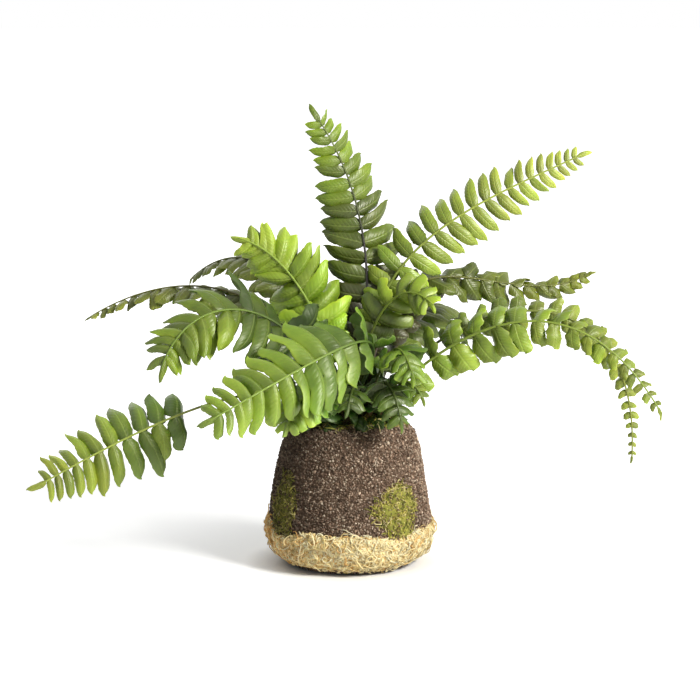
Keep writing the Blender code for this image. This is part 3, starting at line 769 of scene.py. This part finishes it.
def leaf_outline(u, v, neck, blunt, rng):
    """Half width along a leaflet, as a share of its widest."""
    root = 0.5 - 0.22 * neck + (0.5 + 0.22 * neck) * np.clip(u / (0.1 + 0.3 * neck), 0, 1) ** 0.8
    body = 1.04 - (0.46 - 0.44 * blunt) * np.clip((u - 0.12) / 0.88, 0, 1) ** 1.3
    shoulder = 0.5 + 0.33 * blunt
    end = 1 - np.clip((u - shoulder) / (1 - shoulder), 0, 1) ** (1.9 + blunt)
    ear = 0.16 * (1 - neck) * np.exp(-(((u - 0.1) / 0.07) ** 2)) * (v > 0)
    scallop = 1 + 0.035 * np.abs(v) * np.sin(math.tau * (u * 6.5 + rng.random()))
    return (root * body * np.clip(end, 0.003, 1) ** (0.75 - 0.27 * blunt) + ear) * scallop


FACES = leaf_faces(ROWS, COLUMNS)
# Places along a leaflet, closer together at both ends, and across it, closer together at its edges.
EASED = 0.5 - 0.5 * np.cos(np.linspace(0, math.pi, ROWS + 1))
U = (0.35 * np.linspace(0, 1, ROWS + 1) + 0.65 * EASED)[:, None]
V = np.sin(np.linspace(-1, 1, COLUMNS + 1) * math.pi / 2 * 0.92)[None] / math.sin(math.pi / 2 * 0.92)
PLACES = np.stack(np.broadcast_arrays(U, V, 0), -1).reshape(-1, 3)
PLACES = np.concatenate([PLACES, PLACES + (0, 0, 1)])  # upper points, then lower


def leaf_points(length, half, style, rng):
    """Points of a leaflet in its own frame: x along, y towards the frond's tip, z over."""
    mess = style.mess
    width = leaf_outline(U, V, style.neck, style.blunt, rng) * half
    x = length * (U + 0.07 * style.blunt * V * U**3)
    y = width * V + length * (rng.normal(0.03, 0.02 * mess) * U**2 + style.sickle * U**3)
    cup, drop = style.cup * rng.uniform(0.6, 1.2), TIP_DROP + rng.normal(0.02, 0.035 * mess)
    z = -cup * width * np.abs(V) ** 1.7 - 0.1 * half * np.exp(-((V / 0.12) ** 2))
    arch = 0.06 * np.sin(math.pi * U) - drop * U**2
    z += length * (arch - rng.uniform(0.1, 0.8) * np.clip(U - 0.6, 0, 1) ** 2)
    z += 0.1 * half * mess * V**2 * np.sin(math.tau * (rng.uniform(1, 2.4) * U + rng.random()))
    twist = math.radians(rng.normal(0, 10 * mess)) * U
    y, z = y * np.cos(twist) - z * np.sin(twist), y * np.sin(twist) + z * np.cos(twist)
    upper = np.stack([x, y, z], -1)
    rib = 1 + 0.6 * np.exp(-((V / 0.18) ** 2)) * (1 - U)
    thick = np.minimum(0.42, 0.05 * length) * (1 - 0.55 * V**4) * rib
    lower = upper - (thick + 0 * x)[..., None] * (0, 0, 1)
    return np.stack([upper, lower]).reshape(-1, 3)


def add_stem(shape, midrib, look):
    """The stem and midrib: a rod that tapers, with a groove along its upper side."""
    foot, upper = (np.array(srgb(*c)) for c in (look.foot, look.stem))
    first, *_, last = midrib.edges()
    stations = np.concatenate([np.linspace(0, first, 14)[:-1], np.linspace(first, last, 46)])
    stations = np.append(stations, last + 0.6 * (midrib.length - last))
    half = 0.5 * STEM_WIDTH * (1 - 0.55 * stations / midrib.length)
    half[-1] = 0.15
    turns = math.tau * np.arange(STEM_SIDES) / STEM_SIDES
    groove = 1 - 0.16 * np.exp(-(((turns - math.pi / 2) / 0.5) ** 2))
    points, tints, places = [], [], []
    for reach, d in zip(half, stations):
        here, _, normal, side = midrib.at(d)
        flat = np.cos(turns)[:, None] * np.array(side) + 0.85 * np.sin(turns)[:, None] * np.array(normal)
        points.append(np.array(here) + flat * (reach * groove)[:, None])
        green = np.clip((d / midrib.length - 0.3 - look.browner) / 0.35, 0, 1)
        tints.append(np.tile(foot + (upper - foot) * green, (STEM_SIDES, 1)))
        places.append(np.stack([np.full(STEM_SIDES, d / 6), turns / math.tau, 0 * turns], 1))
    index = np.arange(STEM_SIDES * len(stations)).reshape(-1, STEM_SIDES)
    ahead = np.roll(index, -1, axis=1)
    skin = quads(index[:-1], ahead[:-1], ahead[1:], index[1:])
    caps = [[[r[0], r[k], r[k + 1]] for k in range(1, STEM_SIDES - 1)] for r in (index[0], index[-1])]
    shape.add(points, [skin, *caps], np.concatenate(tints), np.concatenate(places), 1)


def build_frond(frond, leaf, stem, seed):
    """A frond: a leaflet for each of its solid's leaflets, one at its end, and the stem."""
    rng = np.random.default_rng(seed)
    look, midrib, tree = LOOKS[frond.name], Midrib(frond), solid_tips(frond.name)
    inner, outer = (np.array(srgb(*c)) for c in (look.inner, look.outer))
    shape, mess, edges = Shape(), look.style.mess, midrib.edges()

    def add_leaf(here, axes, length, half, share):
        points = leaf_points(length, half, look.style, rng)
        # The tint runs from the inner colour near the crown to the outer one at the tip. A darker inner
        # colour is partly the leaflets' own colour and partly painted shade.
        tint = inner + (outer - inner) * np.clip(share * 1.1 + rng.normal(0, 0.14), 0, 1) ** 1.4
        tint = tint * math.exp(rng.normal(0, 0.18))
        # Painted light and shade: each leaflet is darker at its root by the midrib and lighter at its tip. It
        # is lighter on its raised edge and darker on its lower, overlapped edge.
        painted_edge_shade = 1 + 0.012 * look.style.roll * PLACES[:, 1:2]
        tint = tint[None] * (0.64 + 0.58 * PLACES[:, :1] ** 1.1) * painted_edge_shade
        shape.add(np.array(here) + points @ np.array(axes), FACES, tint, PLACES)

    for first, second in zip(edges, edges[1:]):
        distance = 0.5 * (first + second)
        here, tangent, normal, side = midrib.at(distance)
        for hand in (1, -1):
            for size, lift in ((s, angle) for s in SHARES for angle in LIFTS):
                full, (along, _, over) = midrib.leaflet(distance, hand, lift)
                tip = here + along * full * size - over * TIP_DROP * full * size
                if tree.find(tip)[2] < SAME_POINT:
                    break
            else:
                continue
            share = midrib.share(distance)
            length = full * size * rng.uniform(1.0 - 0.06 * mess, 1.0 + 0.06 * mess)
            length *= 1 - look.young * np.clip(1 - (distance - frond.bare) / YOUNG_REACH, 0, 1)
            length *= 1 - look.waning * np.clip((share - 0.35) / 0.25, 0, 1)
            lean = midrib.lean(distance) - math.radians(rng.normal(look.style.rake, 3 * mess))
            lean += math.radians(look.swept if hand > 0 else 0)
            swing = math.radians(DROOP + lift + rng.normal(0, 4 * mess))
            axes = midrib.axes(tangent, normal, side, hand, lean, swing)
            roll = math.radians(hand * (look.style.roll + rng.normal(0, 5 * mess)))
            roll = Matrix.Rotation(roll, 3, axes[0])
            axes = (axes[0], roll @ axes[1], roll @ axes[2])
            near_tip = 1 - 0.2 * np.clip((share - 0.7) / 0.3, 0, 1)
            half = min(look.style.width * (second - first), 0.4 * length) * near_tip
            half *= rng.uniform(1 - 0.08 * mess, 1 + 0.08 * mess)
            add_leaf(here, axes, length, half, share)
    start = edges[-1]
    here, length = midrib.at(start)[0], midrib.length - start
    _, _, normal, side = midrib.at(start + 0.5 * length)
    to_tip = Vector(frond.tip) - here
    add_leaf(here, (to_tip.normalized(), side, normal), to_tip.length, 0.17 * length, 1.0)
    add_stem(shape, midrib, look)
    shape.build(frond.name, [leaf, stem], "leaf")


def build_crown(material, leaf):
    """A lumpy knot of old stem bases, with wisps of moss over it and young dark leaves among the stems, whose
    dark green is partly painted shade.
    """
    rng = np.random.default_rng(3)
    shape = Shape()
    around, levels = 72, 16
    radii, rises = (np.array(c, float) for c in zip(*CROWN_PROFILE))
    share = np.linspace(0.05, 1, levels)[:, None]
    angle = np.linspace(0, math.tau, around, endpoint=False)
    radius = share * radii[-1]
    height = BALL_TOP + GAP + np.interp(radius, radii, rises)
    points = polar(radius, angle, height).reshape(-1, 3)
    points[:, 2] += lumpy(points, 3.5, 1.6, 4)
    rim = points[-around:] * (1, 1, 0) + (0, 0, BALL_TOP - 1.5)
    points = np.concatenate([points, rim, [(0, 0, BALL_TOP + 8.3), (0, 0, BALL_TOP - 1.5)]])
    shape.add(points, ring_faces(levels + 1, around), srgb(70, 56, 34))
    # A stub of the old stem round the foot of each frond.
    reach = np.array([1.9, 1.85, 1.75, 1.6, 1.45, 1.25, 1.0])[None]
    for midrib in map(Midrib, FRONDS):
        spots = [midrib.at(d) for d in np.linspace(1.0, 9.5, reach.size)]
        path, normal = ([[tuple(s[k]) for s in spots]] for k in (0, 2))
        tints = pick(rng, [(92, 72, 38), (110, 96, 44)], (1, 1), 1)
        shape.add(*tubes(path, normal, reach, 8, tints))
    wisps = 600
    angle, walked = rng.uniform(0, math.tau, wisps), rng.uniform(8, 27, wisps)
    length = rng.uniform(3, 10, wisps)
    lift = rng.uniform(0.6, 3.2, wisps) + np.clip(20 - walked, 0, 12) * 0.55
    paths, normals = wander(rng, angle, walked, length, 6, 0.6, lift)
    tints = pick(rng, [*MOSS, (150, 166, 60)], (20, 24, 22, 8, 14, 6, 10), wisps, 0.2)
    shape.add(*tubes(paths, normals, rng.uniform(0.16, 0.36, (wisps, 1)), 3, tints))
    among, round_rim = 56, 32
    for k in range(among + round_rim):
        angle, radius, rise = rng.uniform(0, math.tau), rng.uniform(3, 17), rng.uniform(0.4, 2.2)
        length, height = rng.uniform(10, 20) + 0.8 * (17 - radius), BALL_TOP + 5
        if k >= among:
            angle, radius = k * math.tau / round_rim + rng.normal(0, 0.1), rng.uniform(16, 18)
            rise = rng.normal(0, 0.2)
            length, height = rng.uniform(10, 15), BALL_TOP + 3.5
        out = Vector((math.cos(angle), math.sin(angle), 0))
        along = (out + UP * rise + Vector(rng.normal(0, (0.3, 0.3, 0.1)))).normalized()
        across = along.cross(out + UP * 0.3).normalized()
        over = along.cross(across)
        over *= math.copysign(1, over.dot(out + UP))
        points = leaf_points(length, length * rng.uniform(0.22, 0.32), RUFFLED, rng)
        world = polar(radius, angle, height) + points @ np.array([along, across, over])
        # Dark green, partly as painted shade among the stems.
        tint = np.array(srgb(50, 78, 22)) * math.exp(rng.normal(0, 0.4))
        shape.add(world, FACES, tint, PLACES, 1)
    shape.build("crown", [material, leaf], "stem_base")


# -------- the object

leaf, stem = leaf_material(), stem_material()
soil = crumb_material("soil", srgb(150, 132, 114), 0.95, 0.4)
fibre = crumb_material("fibre", srgb(252, 236, 186), 0.85, 0.2, 0.06)
moss = crumb_material("moss", srgb(168, 160, 84), 0.95, 0.3)
base = crumb_material("stem_base", srgb(128, 112, 62), 0.85, 0.35)
build_root_ball(soil)
build_fibre_wrap(fibre)
for seed, pad in enumerate(MOSS_PADS):
    build_moss_pad(moss, pad, 20 + seed)
build_crown(base, leaf)
for seed, frond in enumerate(FRONDS):
    build_frond(frond, leaf, stem, 100 + seed)

# -------- floor, light and camera

FLOOR_GLOW = 0.48  # what the camera sees added to the floor near the object. It grows to 1 far away.
FLOOR_LEVEL = -0.0003
WORLD_LIGHT = 0.14
LIT = Vector((0, 0, 0.1))  # where the lamps point
SEEN = Vector((0, -0.01, 0.117))  # where the camera points
CAMERA_PLACE = (-0.00196, -1.63299, 0.40268)


def shows_background(n):
    """1 for a ray from the camera, off a glossy surface or through a clear one, and 0 for any other."""
    path = n.node("ShaderNodeLightPath").outputs
    shown = n.math("MAXIMUM", path["Is Camera Ray"], path["Is Glossy Ray"])
    return n.math("MAXIMUM", shown, path["Is Transmission Ray"])


def floor_material():
    """A white floor that keeps the object's shadow, with a painted contact shadow where ambient occlusion
    dims the glow, and that the camera sees brightened to plain white.
    """
    n = Nodes("floor")
    where = n.node("ShaderNodeTexCoord").outputs["Object"]
    far = n.node("ShaderNodeVectorMath", {0: where}, operation="LENGTH").outputs["Value"]
    painted_contact_shadow = n.node("ShaderNodeAmbientOcclusion", {"Distance": 0.018}).outputs["AO"]
    glow = n.math("ADD", n.range(far, 0.05, 0.19, FLOOR_GLOW, 0.8), n.range(far, 0.3, 0.8, 0.0, 0.2))
    # Painted contact shadow: the glow is dimmed where the object is near.
    glow = n.times(glow, n.math("POWER", painted_contact_shadow, 1.5))
    n.put(n.shader.inputs["Emission Strength"], n.times(shows_background(n), glow))
    return n.finish((0.9, 0.9, 0.89, 1), 1.0, Specular_IOR_Level=0.0, Emission_Color=WHITE)


def area_light(name, place, size, power, colour=(1, 1, 1)):
    data = bpy.data.lights.new(name, "AREA")
    data.shape, data.size, data.energy, data.color = "DISK", size, power, colour
    link(name, data, place, LIT)


floor_mesh = bpy.data.meshes.new("floor")
floor_mesh.from_pydata([(-4, -4, 0), (4, -4, 0), (4, 4, 0), (-4, 4, 0)], [], [(0, 1, 2, 3)])
floor_mesh.materials.append(floor_material())
floor = link("floor", floor_mesh, (0, 0, FLOOR_LEVEL))

area_light("key", (1.05, -0.9, 1.0), 0.5, 35.0, (1.0, 0.99, 0.97))
area_light("fill", (-1.1, -1.2, 0.6), 1.0, 0.4, (0.98, 0.99, 1.0))
area_light("back", (-0.7, 1.3, 0.9), 1.2, 5.0)
sky = Nodes("studio", bpy.data.worlds)
bpy.context.scene.world = sky.owner
lit = sky.tree.nodes["Background"]
sky.put(lit.inputs["Color"], WHITE)
sky.put(lit.inputs["Strength"], WORLD_LIGHT)
shown = sky.node("ShaderNodeBackground", {"Color": WHITE})
inputs = {0: shows_background(sky), 1: lit.outputs[0], 2: shown.outputs[0]}
mixed = sky.node("ShaderNodeMixShader", inputs)
sky.put(sky.tree.nodes["World Output"].inputs[0], mixed.outputs[0])

camera_data = bpy.data.cameras.new("camera")
camera_data.sensor_width, camera_data.lens = 36, 160
bpy.context.scene.camera = link("camera", camera_data, CAMERA_PLACE, SEEN)
bpy.context.scene.view_settings.view_transform = "Standard"
